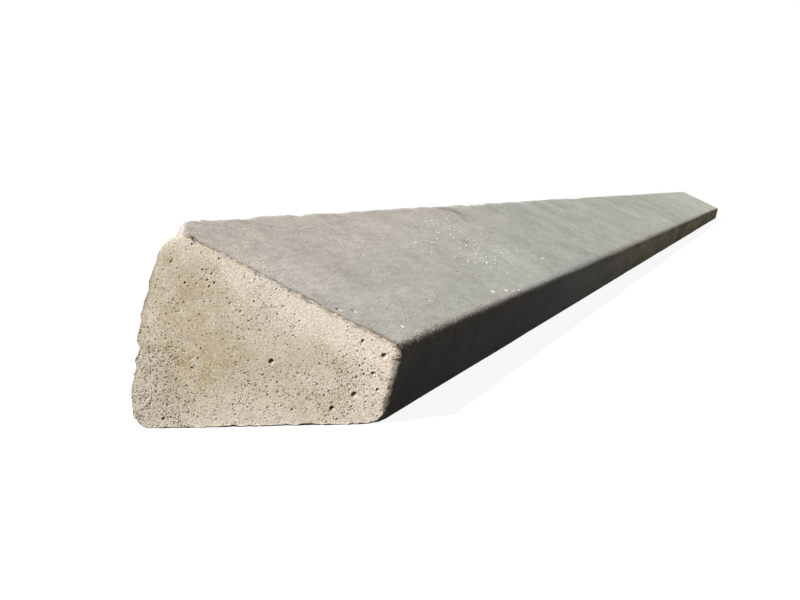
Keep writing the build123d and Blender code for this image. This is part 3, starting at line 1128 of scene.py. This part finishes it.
# %% [markdown]
# ## The struck face
#
# The board drags sand along, so this face is the roughest: coarse grains, deep bump, and tone between the
# other two. The relief is in the skin already, so the finish only adds the grain and the streaks.

# %% Struck face finish
STRUCK_DARK, STRUCK_PALE = (0.41, 0.38, 0.33, 1), (0.53, 0.495, 0.435, 1)

struck_face, tree, shader, place = start_finish("struck_face", roughness=0.95)
grains = place_group(tree, sand, {"Position": place, "Grain": 900.0, "Specks": 0.3, "Pits": 0.7}).outputs
tone = noise_node(tree, place, scale=34.0, detail=5.0)
dragged = stretched(tree, place, (60.0, 5.0, 60.0))
colour = blend_colour(tree, ramp(tree, tone, low=0.3, high=0.7), STRUCK_DARK, STRUCK_PALE)
colour = cloud(tree, colour, dragged, scale=1.0, detail=4.0, low=0.85, high=1.1)
colour = cloud(tree, colour, place, scale=5.0, detail=3.0, low=0.9, high=1.08)
colour = shade(tree, colour, grains["Tone"], low=0.76, high=1.15)
close_finish(tree, shader, place, colour, grains, specks=0.7, bump=0.7, depth=0.0010)
for finish in (cast_end, mould_face, struck_face):
    mesh.materials.append(finish)
print("struck face finish; finishes on the post:", [finish.name for finish in mesh.materials])

# %% [markdown]
# ## Floor and light
#
# The floor is pale and only keeps a soft shadow. To the camera it is nearly white; to light that bounces it
# is dim, so that the narrow face stays in shade. One sun stands at the upper left, in front. A weak, wide one
# behind skims along the upper side and lights mainly the struck face and the far end. The world adds a
# little from all round.

# %% Floor
FLOOR_HALF = 40.0
WHITE, SHADOWED_GREY, DIM_GREY = (1, 1, 1, 1), (0.10, 0.10, 0.10, 1), (0.05, 0.05, 0.05, 1)
FLOOR_GLOW = 0.92

floor_mesh = bpy.data.meshes.new("floor")
floor_corners = [(x * FLOOR_HALF, y * FLOOR_HALF, 0) for x, y in ((-1, -1), (1, -1), (1, 1), (-1, 1))]
floor_mesh.from_pydata(floor_corners, [], [(0, 1, 2, 3)])
floor = show("floor", floor_mesh)
pale = bpy.data.materials.new("pale_floor")
pale.use_nodes = True
tree = pale.node_tree
tree.nodes.remove(tree.nodes["Principled BSDF"])


def seen_directly(tree):
    """One for rays that show the background itself: from the camera, a gloss or a glass."""
    path = add(tree, "ShaderNodeLightPath").outputs
    mirrored = math_node(tree, "MAXIMUM", path["Is Glossy Ray"], path["Is Transmission Ray"])
    return math_node(tree, "MAXIMUM", path["Is Camera Ray"], mirrored)


shadowed = add(tree, "ShaderNodeBsdfDiffuse", {"Color": SHADOWED_GREY}).outputs[0]
white = add(tree, "ShaderNodeEmission", {"Color": WHITE, "Strength": FLOOR_GLOW}).outputs[0]
shown = add(tree, "ShaderNodeAddShader", {0: shadowed, 1: white}).outputs[0]
dim = add(tree, "ShaderNodeBsdfDiffuse", {"Color": DIM_GREY}).outputs[0]
either = add(tree, "ShaderNodeMixShader", {0: seen_directly(tree), 1: dim, 2: shown}).outputs[0]
fill(tree, tree.nodes["Material Output"], {"Surface": either})
floor_mesh.materials.append(pale)
print("floor of", 2 * FLOOR_HALF, "metres each way")

# %% Light
# Strength of the white world as light on the post; where it is seen itself, that is one
SKY_FILL = 0.09


def add_sun(name, towards, energy, spread, colour):
    """A sun lamp that shines from a direction, with the spread of its disc in degrees."""
    lamp = bpy.data.lights.new(name, "SUN")
    lamp.energy, lamp.angle, lamp.color = energy, math.radians(spread), colour
    show(name, lamp).rotation_euler = Vector(towards).to_track_quat("Z", "Y").to_euler()


add_sun("sun", towards=(-0.40, -0.56, 0.726), energy=5.9, spread=2.5, colour=(1.0, 0.985, 0.955))
add_sun("skimming_fill", towards=(-0.60, 0.70, 0.35), energy=1.3, spread=50.0, colour=(0.97, 0.98, 1.0))
world = bpy.data.worlds.new("studio")
bpy.context.scene.world = world
world.use_nodes = True
tree = world.node_tree
tree.nodes.clear()
strength = {"Value": seen_directly(tree), "To Min": SKY_FILL, "To Max": 1.0}
strength = add(tree, "ShaderNodeMapRange", strength).outputs[0]
sky = add(tree, "ShaderNodeBackground", {"Color": WHITE, "Strength": strength}).outputs[0]
add(tree, "ShaderNodeOutputWorld", {"Surface": sky})
print("lights", [light.name for light in bpy.data.lights])

# %% [markdown]
# ## Camera
#
# The camera stands low, close to the near end, and looks along the post, turned a little to the left, tipped
# down and rolled a few degrees.

# %% Camera
# Place in metres, angles in degrees, sensor and lens in millimetres
EYE = (0.14911, -1.80257, 0.06231)
TURNED_LEFT, TIPPED_DOWN, ROLLED = 14.4506, 3.6177, -3.372
SENSOR, LENS = 36.0, 65.0

eye = bpy.data.cameras.new("camera")
eye.sensor_width, eye.lens = SENSOR, LENS
eye.clip_start, eye.clip_end = 0.01, 200.0
camera = show("camera", eye)
left = Matrix.Rotation(math.radians(TURNED_LEFT), 4, "Z")
tip = Matrix.Rotation(math.radians(90 - TIPPED_DOWN), 4, "X")
roll = Matrix.Rotation(math.radians(ROLLED), 4, "Z")
camera.matrix_world = Matrix.Translation(EYE) @ left @ tip @ roll
bpy.context.scene.camera = camera
bpy.context.scene.view_settings.view_transform = "Standard"
print("camera at", [round(v, 3) for v in camera.matrix_world.translation])
